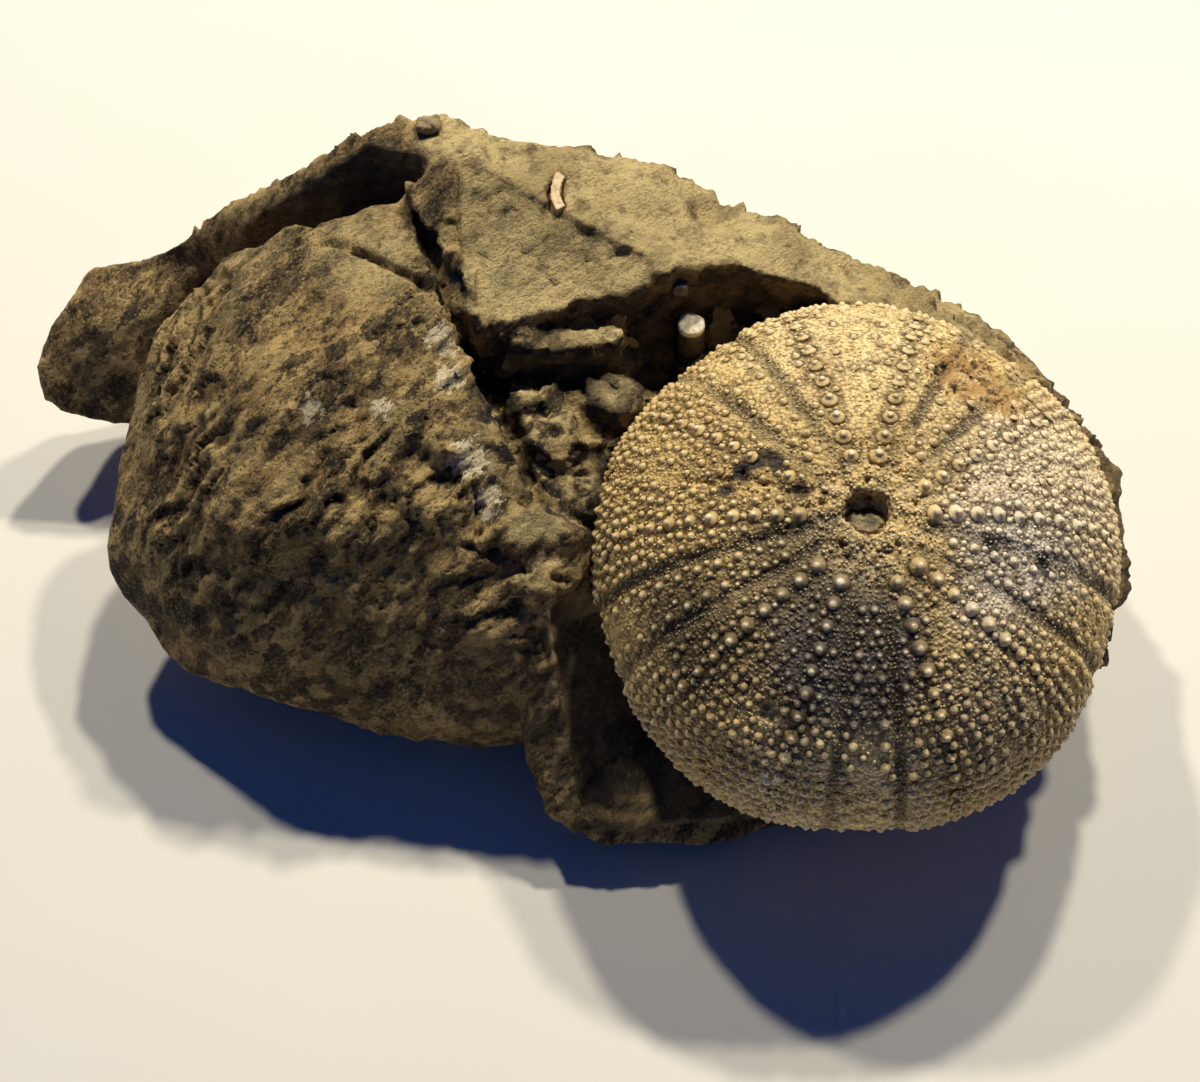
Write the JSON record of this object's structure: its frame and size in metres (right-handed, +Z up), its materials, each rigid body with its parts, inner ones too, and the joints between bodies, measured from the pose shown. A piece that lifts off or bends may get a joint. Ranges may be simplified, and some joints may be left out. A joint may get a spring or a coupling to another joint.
{
  "type": "fossil sea urchin",
  "caption": "Large regular sea urchin fossil set in a rough lump of dark brown mudstone that lies flat on its worn base.",
  "frame": {"origin": "on the surface the specimen rests on, under the middle of its box", "axes": "+X along the lump towards the urchin, +Y towards its high back, +Z up"},
  "size_m": [0.1716, 0.1064, 0.0687],
  "materials": {
    "mudstone": "rough broken mudstone",
    "urchin_calcite": "knobbly calcite with a faint gloss",
    "pale_sediment": "dull and grainy",
    "pale_calcite": "smooth, faintly glossy",
    "grey_stone": "dull"
  },
  "bodies": {
    "root": {"matrix_rock": "mudstone", "urchin_test": "urchin_calcite", "sediment_plug": "pale_sediment", "spine_stub": "pale_calcite", "shell_sliver": "pale_calcite", "grey_clast": "grey_stone", "crest_pebble": "mudstone"}
  },
  "joints": []
}
